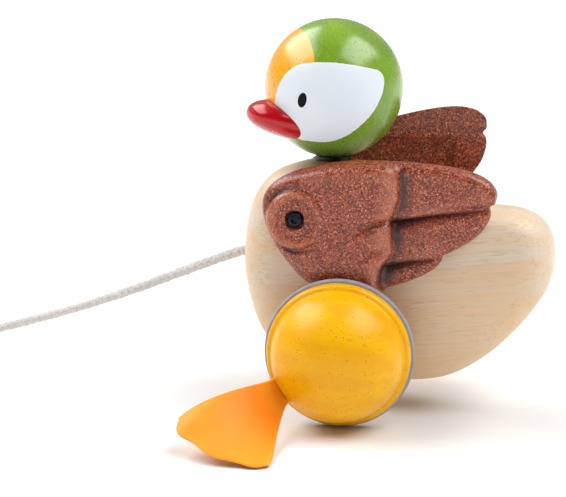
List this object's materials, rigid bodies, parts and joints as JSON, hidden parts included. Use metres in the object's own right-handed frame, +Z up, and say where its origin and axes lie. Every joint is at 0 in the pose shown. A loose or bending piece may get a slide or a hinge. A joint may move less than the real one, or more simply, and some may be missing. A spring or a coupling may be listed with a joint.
{
  "type": "pull along toy",
  "caption": "Wooden pull along duck with a swivelling ball head, speckled moulded wings, domed wheels with rubber web feet, and a braided cord with a bead.",
  "frame": {"origin": "middle of the toy's footprint on the floor, without the cord; the wheels' rings touch the floor plane z = 0", "axes": "+X forward, the way the duck faces and is pulled; +Y to the duck's left, along the axle; +Z up"},
  "size_m": [0.3439, 0.1827, 0.1592],
  "materials": {
    "pale_wood": "clear matt lacquer, fine grain along the body",
    "dowel_wood": "plain turned dowel",
    "head_paint": "stained green with a yellow orange forehead and a white cheek, satin lacquer",
    "red_paint": "gloss red paint",
    "wing_brown": "speckled moulded wood composite, satin",
    "wheel_yellow": "yellow stain with fine pores, satin lacquer",
    "grey_rubber": "smooth matt ring",
    "orange_rubber": "smooth matt flexible sheet",
    "black_steel": "black oxide, satin",
    "black_plastic": "plain dark washer",
    "cord_cotton": "round braid of off-white cotton"
  },
  "bodies": {
    "body": {"body": "pale_wood", "neck_dowel": "dowel_wood", "neck_washer": "black_plastic", "left_wing_screw": "black_steel", "right_wing_screw": "black_steel", "left_wing_washer": "black_plastic", "right_wing_washer": "black_plastic", "pull_cord": "cord_cotton", "cord_coil": "cord_cotton", "cord_end": "cord_cotton", "cord_knot": "cord_cotton", "pull_bead": "dowel_wood"},
    "head": {"head": "head_paint", "beak": "red_paint"},
    "left_wing": {"left_wing": "wing_brown"},
    "right_wing": {"right_wing": "wing_brown"},
    "wheelset": {"axle": "dowel_wood", "left_spacer": "dowel_wood", "right_spacer": "dowel_wood", "left_wheel": "wheel_yellow", "right_wheel": "wheel_yellow", "left_tyre": "grey_rubber", "right_tyre": "grey_rubber", "left_foot_root": "orange_rubber", "right_foot_root": "orange_rubber"},
    "left_foot": {"left_foot": "orange_rubber"},
    "right_foot": {"right_foot": "orange_rubber"}
  },
  "joints": [
    {"name": "head_swivel", "type": "hinge", "parent": "body", "child": "head", "pos_m": [0.0203, 0, 0.1312], "axis": [0, 0, 1], "range_deg": [-100, 50]},
    {"name": "left_wing_swing", "type": "hinge", "parent": "body", "child": "left_wing", "pos_m": [0.0315, 0.0195, 0.0819], "axis": [0, 1, 0], "range_deg": [-30, 18]},
    {"name": "right_wing_swing", "type": "hinge", "parent": "body", "child": "right_wing", "pos_m": [0.0315, -0.0195, 0.0819], "axis": [0, 1, 0], "range_deg": [-48, 0]},
    {"name": "wheel_spin", "type": "hinge", "parent": "body", "child": "wheelset", "pos_m": [0.0125, 0, 0.03], "axis": [0, 1, 0], "continuous": true},
    {"name": "left_foot_flex", "type": "hinge", "parent": "wheelset", "child": "left_foot", "pos_m": [0.03489, 0.0455, 0.016], "axis": [0.5299, 0, 0.848], "range_deg": [-30, 24], "stiffness_Nm_per_rad": 0.03},
    {"name": "right_foot_flex", "type": "hinge", "parent": "wheelset", "child": "right_foot", "pos_m": [-0.00989, -0.0455, 0.04399], "axis": [0.5299, 0, 0.848], "range_deg": [-30, 24], "stiffness_Nm_per_rad": 0.03}
  ]
}
